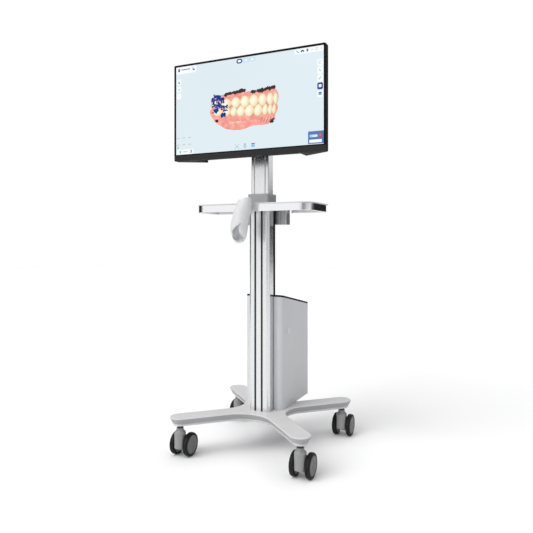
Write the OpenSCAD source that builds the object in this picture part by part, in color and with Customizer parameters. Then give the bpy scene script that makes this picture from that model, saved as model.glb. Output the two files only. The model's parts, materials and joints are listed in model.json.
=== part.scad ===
// Mobile dental scanner cart: four-leg base on twin-wheel casters, telescopic
// column, tray with a rail and a holder, tilting monitor, computer case.
// Millimetres, +Z up, floor at z = 0, screen facing -Y.

/* [Base] */
// Sideways distance from the middle of the base to a caster stem
stem_x = 210; // [190:1:230]
// Front-to-back distance from the middle of the base to a caster stem
stem_y = 204; // [185:1:225]
// Width of a leg
leg_w = 70; // [64:1:80]
// Height of the base's top face
base_top = 133; // [130:1:137]
// Depth of the base shell's outer rim
rim_h = 17; // [14:1:20]
// Depth of the narrower skirt below the rim
skirt_h = 11; // [9:1:14]
// How far the skirt stands in from the rim
skirt_inset = 12; // [8:1:13]
// Radius of the arcs between the two front and the two rear legs
long_arc = 105; // [90:1:115]
// Radius of the arcs at the two sides
side_arc = 85; // [70:1:90]
// Wall of the base shell
shell_wall = 3; // [2.5:0.5:3.5]

/* [Casters] */
// Wheel diameter
wheel_d = 76; // [74:1:78]
// Wheel width
wheel_w = 17.5; // [16:0.5:19]
// Gap between the two wheels of a caster
wheel_gap = 32.5; // [32:0.5:34]
// How far the axle trails behind the stem
caster_trail = 22; // [20:1:24]
// Diameter of the caster's swivel housing
housing_d = 37; // [35:1:38]
// Diameter of the wheel disc inside the tyre
disc_d = 60; // [56:1:64]

/* [Column] */
// Width of the lower column
column_w = 75; // [75:0.5:77]
// Radius of the lower column's front corners
column_r = 13; // [8:1:14]
// Height of the lower column's top above the floor
column_top = 831; // [825:1:835]
// Distance of the front grooves from the middle
groove_x = 12; // [11.5:0.5:14]
// Width of a groove's mouth
groove_w = 7; // [6:0.5:8]
// Height of the collar on the lower column
collar_h = 31; // [26:1:34]
// Width of the mast
mast_w = 65; // [62:0.5:65]
// Depth of the mast
mast_d = 37; // [36:0.5:38]
// Height of the mast's top above the floor
mast_top = 1203; // [1190:1:1220]
// Height of the mast's lower end above the floor
mast_low = 530; // [510:5:550]

/* [Tray] */
// Width of the rail
rail_w = 420; // [400:5:440]
// Height of the rail band
rail_h = 24; // [20:1:26]
// Thickness of the rail band
rail_t = 5; // [4:0.5:6]
// Corner radius at the rail's front
rail_r = 45; // [35:1:55]
// Depth of the tray bracket below the plate
bracket_h = 64; // [56:1:68]

/* [Monitor] */
// Width of the monitor
monitor_w = 540; // [520:5:560]
// Height of the monitor
monitor_h = 324; // [315:1:335]
// Height of the monitor's lower edge above the floor
monitor_low = 974; // [970:1:985]
// Width of the lit area
screen_w = 527; // [500:1:530]
// Height of the lit area
screen_h = 296.5; // [285:0.5:298]
// Height of the grey strip under the screen
chin_h = 17.8; // [15:0.2:18]
// Depth of the monitor at its edge
monitor_d = 23; // [20:1:26]

/* [Computer case] */
// Width of the case
case_w = 140; // [130:2:150]
// Height of the case's top above the floor at its front
case_front_h = 522; // [490:2:560]
// Height of the case's top above the floor at its rear
case_rear_h = 476; // [460:2:486]
// Radius of the case's front corners
case_r = 20; // [16:1:24]
// Wall of the case
case_wall = 3; // [2.5:0.5:3]

/* [Scanner holder] */
// Outer diameter of the holder's tube
holder_d = 46; // [42:1:50]
// Wall of the holder's tube
holder_wall = 2.5; // [2:0.5:3]
// Sideways place of the holder on the rail
holder_x = -10; // [-60:1:20]

/* [Hidden] */
$fn = 64;
eps = 0.01;

// The trailing rear wheels reach further than the front legs: this centres the whole on the origin.
base_y = -(caster_trail + wheel_d/2 - leg_w/2)/2;
stem_reach = norm([stem_x, stem_y]);
leg_angle = atan2(stem_y, stem_x);
axle_z = wheel_d/2;
skirt_z = base_top - rim_h - skirt_h;
rim_z = base_top - rim_h;
plate_t = 8;
plate_z = base_top - shell_wall - plate_t;
stem_r = 5.5;
pivot_r = 4.75;
running = 0.05;
housing_half = wheel_gap/2 - 0.55;
housing_top = skirt_z - 9;
axle_r = 4;

// Front-to-back places, as distances behind the middle of the base
column_front = base_y - 51;
duct_front = base_y - 13.5;
column_back = base_y + 6;
core_w = column_w - 3;
core_back = column_back - 3;
cavity = [mast_w + 3, 45];
cavity_front = column_front + 6;
mast_front = base_y - 41;
mast_y = mast_front + mast_d/2;
mast_wall = 3;
foot_h = 20;
spring_low = base_top + foot_h;
spring_len = 400;
rod_low = 262;
rod_top = 852;
clear = 0.3;

plate_top = column_top - 4;
plate_low = plate_top - 3;
rail_low = plate_low - rail_h;
rail_front = base_y - 121;
rail_back = base_y + 44;
rail_gap = 82;
bracket_w = 154;
bracket_back = base_y + 40;
bracket_low = plate_low - bracket_h;

screen_front = base_y - 149;
screen_mid = monitor_low + chin_h + 3.5 + screen_h/2;
lip_t = 2;
frame_wall = 3;
back_t = 3;
monitor_rear = screen_front + monitor_d;
bulge_rear = base_y - 97;
bulge_w = 300;
bulge_h = 220;
vesa = 100;
tilt_y = base_y - 72;
tilt_z = screen_mid;
ear_r = 10;
ear_t = 4;

case_front = base_y - 12;
case_back = base_y + 231;
trim_t = 6.5;
door_t = 3;
door_pin = [-case_w/2 + 8, case_back - door_t/2];
button_y = base_y + 44.5;
button_z = 395;
button_r = 11;

holder_y = rail_front - 2 - holder_d/2 - 1.6;
clip_w = 20;
clip_back = rail_front + rail_t + 3.2;
screw_head = 1.5;

// ---- helpers ----

// Rectangle between two corners with rounded front and rear corners
module rounded(x0, x1, y0, y1, rf, rb) {
    translate([x0, y0 + rf]) square([x1 - x0, y1 - y0 - rf - rb]);
    translate([x0 + rf, y0]) square([x1 - x0 - 2*rf, rf + eps]);
    translate([x0 + rb, y1 - rb - eps]) square([x1 - x0 - 2*rb, rb + eps]);
    for (x = [x0 + rf, x1 - rf]) translate([x, y0 + rf]) circle(r = rf);
    for (x = [x0 + rb, x1 - rb]) translate([x, y1 - rb]) circle(r = rb);
}

// Block between two corners
module block(low, high) {
    translate(low) cube(high - low);
}

// Cylinder along X from x0 to x1
module rod_x(x0, x1, y, z, r) {
    translate([x0, y, z]) rotate([0, 90, 0]) cylinder(r = r, h = x1 - x0);
}

// Cylinder along Y from y0 to y1
module rod_y(x, y0, y1, z, r) {
    translate([x, y1, z]) rotate([90, 0, 0]) cylinder(r = r, h = y1 - y0);
}

// Extrudes an outline drawn in Y and Z along X, centred
module along_x(width) {
    translate([-width/2, 0, 0]) rotate([90, 0, 90]) linear_extrude(width) children();
}

// Extrudes an outline drawn in X and Z along Y, from y0 to y1
module along_y(y0, y1) {
    translate([0, y1, 0]) rotate([90, 0, 0]) linear_extrude(y1 - y0) children();
}

// ---- base ----

// Fill between two neighbouring legs, ending in a concave arc tangent to both
module web(half_angle, arc, inset) {
    reach = (arc + leg_w/2)/sin(half_angle);
    side = reach*cos(half_angle);
    difference() {
        polygon([
            [0, 0],
            [side*cos(half_angle), side*sin(half_angle)],
            [reach, 0],
            [side*cos(half_angle), -side*sin(half_angle)],
        ]);
        translate([reach, 0]) circle(r = arc + inset, $fn = 96);
    }
}

// Plan outline of the four legs
module base_outline(inset) {
    half = leg_w/2 - inset;
    translate([0, base_y]) {
        for (sx = [-1, 1], sy = [-1, 1]) rotate(atan2(sy*stem_y, sx*stem_x)) {
            translate([0, -half]) square([stem_reach, 2*half]);
            translate([stem_reach, 0]) circle(r = half);
        }
        for (a = [0, 180]) {
            rotate(a) web(leg_angle, side_arc, inset);
            rotate(a + 90) web(90 - leg_angle, long_arc, inset);
        }
    }
}

module at_stems() {
    for (sx = [-1, 1], sy = [-1, 1]) translate([sx*stem_x, base_y + sy*stem_y, 0]) children();
}

module at_bolts() {
    for (x = [-22, 22], y = [-17, 17]) translate([x, mast_y + y, 0]) children();
}

// Moulded cover over the steel cross: rim, narrower skirt, hollow below
module base_shell() {
    color([0.82, 0.81, 0.81]) difference() {
        union() {
            translate([0, 0, base_top - 2]) linear_extrude(2) base_outline(1.5);
            translate([0, 0, rim_z]) linear_extrude(rim_h - 2) base_outline(0);
            translate([0, 0, skirt_z]) linear_extrude(skirt_h + eps) base_outline(skirt_inset);
        }
        translate([0, 0, skirt_z - 1])
            linear_extrude(base_top - shell_wall - skirt_z + 1) base_outline(skirt_inset + shell_wall);
        at_bolts() translate([0, 0, base_top - 10]) cylinder(r = 4, h = 20);
    }
}

// Steel cross plate with a welded socket for each caster stem
module base_frame() {
    color([0.25, 0.26, 0.28]) difference() {
        union() {
            translate([0, 0, plate_z]) linear_extrude(plate_t) base_outline(skirt_inset + shell_wall + 1);
            at_stems() translate([0, 0, skirt_z + 2]) cylinder(r = 15, h = plate_z - skirt_z - 1);
        }
        at_stems() translate([0, 0, skirt_z + 1]) cylinder(r = stem_r, h = plate_z - skirt_z + 4);
        at_bolts() translate([0, 0, plate_z - 1]) cylinder(r = 4, h = plate_t + 2);
    }
}

// Block that the column's lower end is fixed on
module column_foot() {
    color([0.6, 0.6, 0.62]) difference() {
        block([-cavity.x/2, cavity_front, base_top], [cavity.x/2, cavity_front + cavity.y, spring_low]);
        at_bolts() translate([0, 0, base_top - 1]) cylinder(r = 4, h = foot_h - 2);
    }
}

// Four bolts from below, through the steel plate into the foot
module column_bolts() {
    color([0.55, 0.55, 0.57]) at_bolts() {
        translate([0, 0, plate_z]) cylinder(r = 4, h = base_top + foot_h - 4 - plate_z);
        difference() {
            translate([0, 0, plate_z - 8]) cylinder(r = 6.5, h = 8);
            translate([0, 0, plate_z - 9]) cylinder(r = 3.46, h = 5, $fn = 6);
        }
    }
}

// Grip stems pressed in the sockets, with the pivot that each caster turns on
module caster_stems() {
    color([0.7, 0.7, 0.72]) at_stems() {
        translate([0, 0, skirt_z + 2]) cylinder(r = stem_r, h = plate_z - skirt_z + 2);
        translate([0, 0, housing_top + 1]) cylinder(r = 10, h = skirt_z + 1 - housing_top);
        translate([0, 0, 66]) cylinder(r = pivot_r, h = housing_top + 2 - 66);
    }
}

// ---- casters: sx and sy choose the corner, side chooses the wheel ----

module at_caster(sx, sy) {
    translate([sx*stem_x, base_y + sy*stem_y, 0]) children();
}

// Swivel housing: upright barrel, flat between the wheels, with an arm to the axle
module housing(sx, sy) {
    barrel_r = housing_d/2;
    shoulder = housing_top - 14;
    color([0.56, 0.56, 0.57]) at_caster(sx, sy) difference() {
        union() {
            intersection() {
                translate([0, 0, 31]) cylinder(r = barrel_r, h = wheel_d + 3 - 31);
                block([-housing_half, -30, 0], [housing_half, 30, 100]);
            }
            translate([0, 0, wheel_d + 2]) cylinder(r = barrel_r, h = shoulder - wheel_d - 2);
            translate([0, 0, shoulder - eps]) cylinder(r1 = barrel_r, r2 = barrel_r - 6, h = 7);
            translate([0, 0, shoulder + 6]) cylinder(r = barrel_r - 7, h = housing_top - shoulder - 6);
            along_x(2*housing_half) {
                translate([caster_trail, axle_z]) circle(r = 22);
                polygon([[0, 31], [0, wheel_d - 4], [12, wheel_d - 4], [38, 53], [28, 17]]);
            }
        }
        translate([0, 0, 65.5]) cylinder(r = pivot_r + running, h = 60);
        rod_x(-40, 40, caster_trail, axle_z, axle_r);
    }
}

module axle(sx, sy) {
    half = wheel_gap/2 + 14.7;
    color([0.7, 0.7, 0.72]) at_caster(sx, sy) rod_x(-half, half, caster_trail, axle_z, axle_r);
}

// Puts a turned wheel piece on its side of the caster, profile height from the inner face outwards
module at_wheel(sx, sy, side) {
    at_caster(sx, sy) translate([side*wheel_gap/2, caster_trail, axle_z])
        rotate([0, side*90, 0]) rotate_extrude() children();
}

// Wheel disc with a blind running bore on the axle
module hub(sx, sy, side) {
    r = disc_d/2;
    bore = axle_r + running;
    color([0.43, 0.43, 0.44]) at_wheel(sx, sy, side) polygon([
        [bore, 0.5], [r, 0.5], [r, wheel_w - 2], [r - 1.5, wheel_w - 0.5], [12, wheel_w],
        [0, wheel_w], [0, wheel_w - 2], [bore, wheel_w - 2],
    ]);
}

module tyre(sx, sy, side) {
    r = wheel_d/2;
    color([0.09, 0.09, 0.1]) at_wheel(sx, sy, side) polygon([
        [disc_d/2, 0.5], [r - 4, 0.5], [r - 1, 2], [r, 4.5], [r, wheel_w - 4.5], [r - 1, wheel_w - 2],
        [r - 4, wheel_w - 0.5], [disc_d/2, wheel_w - 0.5],
    ]);
}

// ---- column ----

// Holes in the column's back for the two screws of the tray bracket
module bracket_holes(y0, y1, r) {
    for (x = [-20, 20]) rod_y(x, y0, y1, bracket_low + bracket_h/2, r);
}

// Lower aluminium extrusion, with two undercut grooves in its front
module column() {
    color([0.8, 0.81, 0.83]) difference() {
        translate([0, 0, base_top]) linear_extrude(column_top - base_top) difference() {
            union() {
                rounded(-column_w/2, column_w/2, column_front, duct_front, column_r, eps);
                translate([-core_w/2, duct_front - 1]) square([core_w, core_back - duct_front + 1]);
            }
            translate([-cavity.x/2, cavity_front]) square(cavity);
            for (s = [-1, 1]) translate([s*groove_x, column_front]) {
                translate([-groove_w/2, -1]) square([groove_w, 3]);
                translate([-groove_w/2 - 2, 1.8]) square([groove_w + 4, 2.2]);
            }
        }
        bracket_holes(core_back - 4, core_back + 1, 2.5);
    }
}

// Black cover around the column's rear, over the cables
module cable_duct() {
    color([0.05, 0.05, 0.06]) difference() {
        translate([0, 0, base_top]) linear_extrude(column_top - base_top) difference() {
            rounded(-column_w/2, column_w/2, duct_front, column_back, eps, 4);
            translate([-core_w/2, duct_front - 1]) square([core_w, core_back - duct_front + 1]);
        }
        bracket_holes(core_back - 1, column_back + 1, 2.5);
    }
}

// Plastic collar that closes the column's top and guides the mast
module column_collar() {
    color([0.6, 0.6, 0.61]) translate([0, 0, column_top]) linear_extrude(collar_h) difference() {
        rounded(-column_w/2 - 1, column_w/2 + 1, column_front - 5, column_back + 7, 7, 7);
        translate([-mast_w/2 - clear, mast_front - clear]) square([mast_w + 2*clear, mast_d + 2*clear]);
    }
}

module gas_spring_cylinder() {
    color([0.1, 0.1, 0.11]) translate([0, mast_y, 0]) difference() {
        translate([0, 0, spring_low]) cylinder(r = 11, h = spring_len);
        translate([0, 0, spring_low + 4]) cylinder(r = 9.1, h = spring_len - 16);
        translate([0, 0, spring_low + spring_len - 20]) cylinder(r = axle_r + running, h = 30);
    }
}

// Piston rod, screwed into the cross plate inside the mast
module gas_spring_rod() {
    color([0.75, 0.75, 0.77]) translate([0, mast_y, 0]) {
        translate([0, 0, rod_low]) cylinder(r = 9, h = 10);
        translate([0, 0, rod_low]) cylinder(r = axle_r, h = rod_top - rod_low);
        translate([0, 0, rod_top - eps]) cylinder(r = 3, h = 12);
    }
}

// Sliding aluminium extrusion with a raised centre band and a cross plate inside
module mast() {
    color([0.83, 0.84, 0.86]) {
        translate([0, 0, mast_low]) linear_extrude(mast_top - mast_low) difference() {
            rounded(-mast_w/2, mast_w/2, mast_front, mast_front + mast_d, 4, 2);
            translate([-mast_w/2 + mast_wall, mast_front + mast_wall])
                square([mast_w - 2*mast_wall, mast_d - 2*mast_wall]);
            for (x = [-20, 20]) translate([x - 2, mast_front - 1]) square([4, 2.2]);
        }
        translate([0, 0, rod_top]) linear_extrude(6) difference() {
            translate([-mast_w/2 + mast_wall, mast_front + mast_wall])
                square([mast_w - 2*mast_wall, mast_d - 2*mast_wall]);
            translate([0, mast_y]) circle(r = 3);
        }
    }
}

// Plastic slide block under the mast, running in the lower column
module mast_guide() {
    gap = 0.4;
    color([0.9, 0.9, 0.88]) translate([0, 0, mast_low - 30]) linear_extrude(30) difference() {
        translate([-cavity.x/2 + gap, cavity_front + gap]) square([cavity.x - 2*gap, cavity.y - 2*gap]);
        translate([0, mast_y]) circle(r = 13);
    }
}

module mast_cap() {
    color([0.12, 0.12, 0.13]) translate([0, 0, mast_top])
        linear_extrude(4) rounded(-mast_w/2, mast_w/2, mast_front, mast_front + mast_d, 4, 2);
}

// ---- tray ----

module tray_plate() {
    color([0.78, 0.79, 0.8]) difference() {
        translate([0, 0, plate_low]) linear_extrude(plate_top - plate_low) difference() {
            rounded(-rail_w/2 - 2, rail_w/2 + 2, rail_front - 2, rail_back + 14, rail_r + 2, 12);
            translate([-column_w/2 - 0.5, column_front - 0.5])
                square([column_w + 1, column_back - column_front + 1]);
        }
        at_tray_screws() {
            translate([0, 0, plate_low - 1]) cylinder(r = 2.5, h = 5);
            translate([0, 0, plate_top - screw_head]) cylinder(r = 4.8, h = 5);
        }
        block([holder_x - clip_w/2 - 0.5, rail_front - 3, plate_low - 1],
            [holder_x + clip_w/2 + 0.5, clip_back + 0.5, plate_top + 1]);
    }
}

// Polished flat band on edge, open at the rear where the bracket is
module tray_rail() {
    color([0.9, 0.9, 0.91]) translate([0, 0, rail_low]) linear_extrude(rail_h) difference() {
        rounded(-rail_w/2, rail_w/2, rail_front, rail_back, rail_r, 14);
        rounded(-rail_w/2 + rail_t, rail_w/2 - rail_t, rail_front + rail_t, rail_back - rail_t,
            rail_r - rail_t, 14 - rail_t);
        translate([-rail_gap, rail_back - 20]) square([2*rail_gap, 30]);
    }
}

module at_tray_screws() {
    for (x = [-62, 62], y = [16, 32]) translate([x, base_y + y, 0]) children();
}

// Dark block behind the column that carries the tray
module tray_bracket() {
    color([0.3, 0.3, 0.31]) difference() {
        translate([0, 0, bracket_low]) linear_extrude(bracket_h)
            rounded(-bracket_w/2, bracket_w/2, column_back, bracket_back, 2, 3);
        at_tray_screws() translate([0, 0, plate_low - 14]) cylinder(r = 2.5, h = 20);
        bracket_holes(column_back + 10, bracket_back + 1, 5);
        bracket_holes(column_back - 1, column_back + 12, 2.5);
    }
}

// Screws that hold the plate on the bracket and the bracket on the column
module tray_screws() {
    color([0.15, 0.15, 0.16]) {
        at_tray_screws() {
            translate([0, 0, plate_low - 12])
                cylinder(r = 2.5, h = plate_top - plate_low + 12 - screw_head);
            translate([0, 0, plate_top - screw_head]) cylinder(r = 4.5, h = screw_head);
        }
        bracket_holes(core_back - 1.8, column_back + 10, 2.5);
        bracket_holes(column_back + 10, column_back + 15, 4.3);
    }
}

// Tube that a handpiece stands in, hooked over the rail band in a notch of the plate
module scanner_holder() {
    r = holder_d/2;
    color([0.93, 0.93, 0.94, 0.8]) {
        translate([holder_x, holder_y, plate_top - 12]) rotate([-4, 5, 0]) difference() {
            translate([0, 0, -118]) cylinder(r = r, h = 146);
            translate([0, 0, -119]) cylinder(r = r - holder_wall, h = 148);
            translate([0, 0, -118]) rotate([0, -38, 0]) block([-80, -40, -60], [80, 40, 0]);
            translate([-r - 1, -40, 30]) rotate([0, 30, 0]) block([-40, 0, -20], [30, 80, 40]);
        }
        difference() {
            block([holder_x - clip_w/2, rail_front - 5, rail_low - 3],
                [holder_x + clip_w/2, clip_back, plate_top]);
            block([holder_x - clip_w, rail_front - 2, rail_low],
                [holder_x + clip_w, clip_back - 3, plate_low]);
            block([holder_x - clip_w, clip_back - 4, rail_low - 4],
                [holder_x + clip_w, clip_back + 1, plate_low - 8]);
        }
    }
}

// ---- monitor ----

// Ears of a hinge plate seen from the side: a round end on a straight root
module ear_outline(root_y) {
    translate([tilt_y, tilt_z]) circle(r = ear_r);
    translate([min(root_y, tilt_y), tilt_z - ear_r]) square([abs(root_y - tilt_y), 2*ear_r]);
}

// Fork bolted on the mast's front
module tilt_bracket() {
    color([0.15, 0.15, 0.16]) difference() {
        union() {
            block([-25, mast_front - 6, tilt_z - 30], [25, mast_front, tilt_z + 30]);
            for (s = [-1, 1]) translate([s*(15 + clear + ear_t/2), 0, 0])
                along_x(ear_t) ear_outline(mast_front - 5);
        }
        rod_x(-40, 40, tilt_y, tilt_z, axle_r);
    }
}

module tilt_pin() {
    half = 15 + clear + ear_t;
    color([0.7, 0.7, 0.72]) {
        rod_x(-half, half, tilt_y, tilt_z, axle_r);
        for (s = [-1, 1]) rod_x(s > 0 ? half : -half - 3, s > 0 ? half + 3 : -half, tilt_y, tilt_z, 7);
    }
}

module at_vesa() {
    for (x = [-1, 1], z = [-1, 1]) translate([x*vesa/2, 0, screen_mid + z*vesa/2]) children();
}

// Plate on the monitor's back, with two ears that turn on the pin
module vesa_plate() {
    plate_rear = bulge_rear + 3;
    color([0.15, 0.15, 0.16]) difference() {
        union() {
            block([-60, bulge_rear, screen_mid - 60], [60, plate_rear, screen_mid + 60]);
            for (s = [-1, 1]) translate([s*(15 - ear_t/2), 0, 0]) along_x(ear_t) ear_outline(plate_rear - 1);
        }
        rod_x(-40, 40, tilt_y, tilt_z, axle_r + running);
        at_vesa() rod_y(0, bulge_rear - 1, plate_rear + 1, 0, 2);
    }
}

module vesa_screws() {
    color([0.6, 0.6, 0.62]) at_vesa() {
        rod_y(0, bulge_rear - 6, bulge_rear + 3, 0, 2);
        rod_y(0, bulge_rear + 3, bulge_rear + 5.4, 0, 3.8);
    }
}

// Rectangle in X and Z around the screen's middle line
module panel(w, low, high) {
    translate([-w/2, low]) square([w, high - low]);
}

// Rear cover with a raised box for the electronics
module monitor_back() {
    top = monitor_low + monitor_h;
    wall = 2.5;
    vent_l = 90;
    vent_h = 3.5;
    color([0.11, 0.11, 0.12]) difference() {
        union() {
            along_y(monitor_rear - back_t, monitor_rear) panel(monitor_w, monitor_low, top);
            along_y(monitor_rear - eps, bulge_rear)
                panel(bulge_w, screen_mid - bulge_h/2, screen_mid + bulge_h/2);
        }
        along_y(monitor_rear - back_t - 1, bulge_rear - wall)
            panel(bulge_w - 2*wall, screen_mid - bulge_h/2 + wall, screen_mid + bulge_h/2 - wall);
        at_vesa() rod_y(0, bulge_rear - wall - 1, bulge_rear + 1, 0, 2);
        for (x = [-110, 20], z = [-92, -84, -76, 72.5, 80.5, 88.5]) block(
            [x, bulge_rear - wall - 1, screen_mid + z],
            [x + vent_l, bulge_rear + 1, screen_mid + z + vent_h]);
    }
}

// Frame around the panel: four side walls and a front lip
module monitor_bezel() {
    top = monitor_low + monitor_h;
    color([0.04, 0.04, 0.045]) difference() {
        along_y(screen_front, monitor_rear - back_t) panel(monitor_w, monitor_low, top);
        along_y(screen_front + lip_t, monitor_rear)
            panel(monitor_w - 2*frame_wall, monitor_low + frame_wall, top - frame_wall);
        along_y(screen_front - 1, screen_front + lip_t + 1)
            panel(screen_w, screen_mid - screen_h/2, screen_mid + screen_h/2);
        along_y(screen_front - 1, screen_front + lip_t)
            panel(monitor_w + 2, monitor_low - 1, monitor_low + chin_h);
        translate([monitor_w/2 - 30, screen_front + 11, monitor_low - 1]) cylinder(r = 3.3, h = 10);
    }
}

// Grey strip along the lower edge of the front
module monitor_chin() {
    color([0.21, 0.21, 0.215]) along_y(screen_front, screen_front + lip_t)
        panel(monitor_w, monitor_low, monitor_low + chin_h);
}

module lcd_panel() {
    color([0.75, 0.78, 0.8]) along_y(screen_front + lip_t + 1, screen_front + lip_t + 10)
        panel(monitor_w - 2*frame_wall - 1, monitor_low + chin_h + 0.5,
            monitor_low + monitor_h - frame_wall - 0.5);
}

module screen_glass() {
    color([0.87, 0.93, 0.95]) along_y(screen_front + lip_t, screen_front + lip_t + 1)
        panel(monitor_w - 2*frame_wall, monitor_low + chin_h + 0.5, monitor_low + monitor_h - frame_wall);
}

// Two wedges behind the lower corners
module monitor_feet() {
    color([0.03, 0.03, 0.035]) translate([0, 0, monitor_low]) linear_extrude(14) for (s = [-1, 1])
        polygon([
            [s*(monitor_w/2 - 1), monitor_rear],
            [s*(monitor_w/2 - 90), monitor_rear],
            [s*(monitor_w/2 - 90), monitor_rear + 50],
        ]);
}

// Push button under the lower right corner
module monitor_button() {
    color([0.1, 0.1, 0.11]) translate([monitor_w/2 - 30, screen_front + 11, monitor_low]) {
        translate([0, 0, -1.2]) cylinder(r = 3, h = 5);
        translate([0, 0, frame_wall + clear]) cylinder(r = 5, h = 3);
    }
}

// ---- computer case ----

// Height of the case's sloping top at a distance behind its front, lowered by drop
function slope(y, drop) =
    case_front_h + (case_rear_h - case_front_h)*(y - case_front)/(case_back - case_front) - drop;

// Plan outline, with a slot in front for the column's duct
module case_plan(wall) {
    difference() {
        rounded(-case_w/2 + wall, case_w/2 - wall, case_front + wall, case_back + (wall > 0 ? 10 : 0),
            case_r - wall, 1.5);
        translate([-column_w/2 - 0.5 - wall, case_front - 1])
            square([column_w + 1 + 2*wall, column_back + 0.5 - case_front + 1 + wall]);
    }
}

// Everything between a low level and the sloping top
module under_slope(low, drop) {
    y0 = case_front - 1;
    y1 = case_back + 15;
    along_x(case_w + 10) polygon([[y0, low], [y1, low], [y1, slope(y1, drop)], [y0, slope(y0, drop)]]);
}

// Sheet case, open at the rear
module case_shell() {
    inner_drop = trim_t + case_wall;
    color([0.8, 0.81, 0.82]) difference() {
        intersection() {
            translate([0, 0, base_top]) linear_extrude(case_front_h) case_plan(0);
            under_slope(base_top, trim_t);
        }
        intersection() {
            translate([0, 0, base_top]) linear_extrude(case_front_h) case_plan(case_wall);
            under_slope(base_top + case_wall, inner_drop);
        }
        translate([door_pin.x, door_pin.y, base_top - 1])
            cylinder(r = 1.5 + running, h = case_front_h);
        rod_x(0, case_w, button_y, button_z, button_r + clear);
        block([-14, case_back - 60, base_top - 1], [14, case_back - 40, base_top + 20]);
    }
}

// Black cover strip on the sloping top
module case_trim() {
    color([0.04, 0.04, 0.045]) difference() {
        intersection() {
            translate([0, 0, base_top]) linear_extrude(case_front_h) case_plan(0);
            under_slope(base_top, 0);
        }
        under_slope(base_top - 1, trim_t);
    }
}

// Service door with vent slots, a knob and a pivot at its left edge
module case_door() {
    gap = 0.4;
    low = base_top + case_wall + gap;
    top = slope(case_back, trim_t + case_wall) - gap;
    half = case_w/2 - case_wall - gap;
    color([0.72, 0.73, 0.74]) {
        difference() {
            block([-half, case_back - door_t, low], [half, case_back, top]);
            for (k = [0:5]) block([-40, case_back - 5, low + 190 + 12*k],
                [40, case_back + 5, low + 194 + 12*k]);
        }
        translate([door_pin.x, door_pin.y, low - 3]) cylinder(r = 1.5, h = top - low + 6);
        rod_y(half - 14, case_back - eps, case_back + 10, low + 165, 7);
    }
}

// Round push button in the case's right side
module case_button() {
    inner_face = case_w/2 - case_wall - clear;
    color([0.74, 0.75, 0.77]) {
        rod_x(inner_face - 2, case_w/2 + 1.5, button_y, button_z, button_r);
        rod_x(inner_face - 2, inner_face, button_y, button_z, button_r + 2);
    }
}

module mini_computer() {
    color([0.18, 0.18, 0.19]) translate([0, 0, base_top + case_wall]) difference() {
        linear_extrude(48) rounded(-58, 58, column_back + 20, column_back + 136, 8, 8);
        for (k = [-3:3]) block([14*k - 4, column_back + 132, 30], [14*k + 4, column_back + 140, 38]);
    }
}

// Mains inlet in the case's floor, facing down behind the base
module power_inlet() {
    x = 14;
    color([0.06, 0.06, 0.065]) translate([0, case_back - 50, base_top]) difference() {
        union() {
            block([-x, -10, 0], [x, 10, 24]);
            block([-x - 6, -12, -1.5], [x + 6, 12, 0]);
        }
        block([-x + 2.5, -8, -3], [x - 2.5, 8, 18]);
        for (s = [-1, 1]) translate([s*(x + 3), 0, -3]) cylinder(r = 1.6, h = 4);
    }
}

base_shell();
base_frame();
column_foot();
column_bolts();
caster_stems();
housing(-1, -1);  // fl_housing
axle(-1, -1);  // fl_axle
hub(-1, -1, -1);  // fl_left_hub
tyre(-1, -1, -1);  // fl_left_tyre
hub(-1, -1, 1);  // fl_right_hub
tyre(-1, -1, 1);  // fl_right_tyre
housing(1, -1);  // fr_housing
axle(1, -1);  // fr_axle
hub(1, -1, -1);  // fr_left_hub
tyre(1, -1, -1);  // fr_left_tyre
hub(1, -1, 1);  // fr_right_hub
tyre(1, -1, 1);  // fr_right_tyre
housing(-1, 1);  // bl_housing
axle(-1, 1);  // bl_axle
hub(-1, 1, -1);  // bl_left_hub
tyre(-1, 1, -1);  // bl_left_tyre
hub(-1, 1, 1);  // bl_right_hub
tyre(-1, 1, 1);  // bl_right_tyre
housing(1, 1);  // br_housing
axle(1, 1);  // br_axle
hub(1, 1, -1);  // br_left_hub
tyre(1, 1, -1);  // br_left_tyre
hub(1, 1, 1);  // br_right_hub
tyre(1, 1, 1);  // br_right_tyre
column();
cable_duct();
column_collar();
gas_spring_cylinder();
gas_spring_rod();
mast();
mast_guide();
mast_cap();
tray_plate();
tray_rail();
tray_bracket();
tray_screws();
scanner_holder();
tilt_bracket();
tilt_pin();
vesa_plate();
vesa_screws();
monitor_back();
monitor_bezel();
monitor_chin();
lcd_panel();
screen_glass();
monitor_feet();
monitor_button();
case_shell();
case_trim();
case_door();
case_button();
mini_computer();
power_inlet();
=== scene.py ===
"""Looks of a mobile dental scanner cart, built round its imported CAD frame.

The frame is in metres, +Z up, floor at z = 0, and the screen faces -Y. Shapes here are drawn in
millimetres in the same frame and scaled once, when a mesh becomes a piece.
"""
import json
import math
import random

import bmesh
import bpy
from mathutils import Matrix, Vector

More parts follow.
